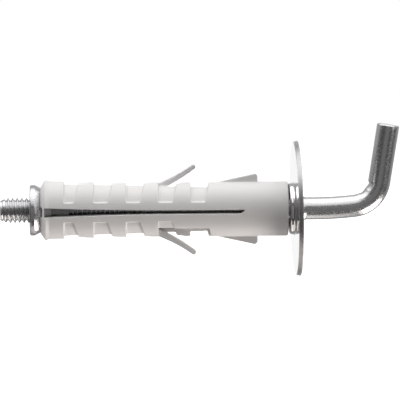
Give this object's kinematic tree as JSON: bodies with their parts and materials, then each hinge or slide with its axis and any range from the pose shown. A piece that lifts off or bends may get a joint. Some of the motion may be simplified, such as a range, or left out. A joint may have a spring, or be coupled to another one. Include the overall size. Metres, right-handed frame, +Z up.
{
  "type": "hook wall plug",
  "caption": "Barbed nylon wall plug with a cone nut, a bent steel hook bolt and a round flange washer.",
  "frame": {"origin": "on the bolt's axis, at the plane of the washer's face that lies against the wall", "axes": "+X along the bolt out of the wall towards the hook, +Z up, the way the hook's leg points, +Y into the picture"},
  "size_m": [0.0615, 0.0208, 0.0235],
  "materials": {
    "nylon": "as moulded, satin",
    "zinc": "zinc, fine grain",
    "zinc_plated_rod": "bright zinc plate over drawn rod",
    "bright_plated_sheet": "bright zinc plate over pressed sheet"
  },
  "bodies": {
    "sleeve": {"sleeve": "nylon"},
    "bolt": {"hook_bolt": "zinc_plated_rod"},
    "nut": {"cone_nut": "zinc"},
    "washer": {"flange_washer": "bright_plated_sheet"}
  },
  "joints": [
    {"name": "hook_turn", "type": "hinge", "parent": "sleeve", "child": "bolt", "pos_m": [0, 0, 0], "axis": [1, 0, 0], "range_deg": [0, 2160]},
    {"name": "nut_travel", "type": "slide", "parent": "sleeve", "child": "nut", "axis": [-1, 0, 0], "range_m": [0, 0.00421]},
    {"name": "washer_spin", "type": "hinge", "parent": "bolt", "child": "washer", "pos_m": [0, 0, 0], "axis": [1, 0, 0], "continuous": true}
  ],
  "couplings": [
    {"joint": "nut_travel", "follows": "hook_turn", "m_per_rad": 0.00011141}
  ]
}
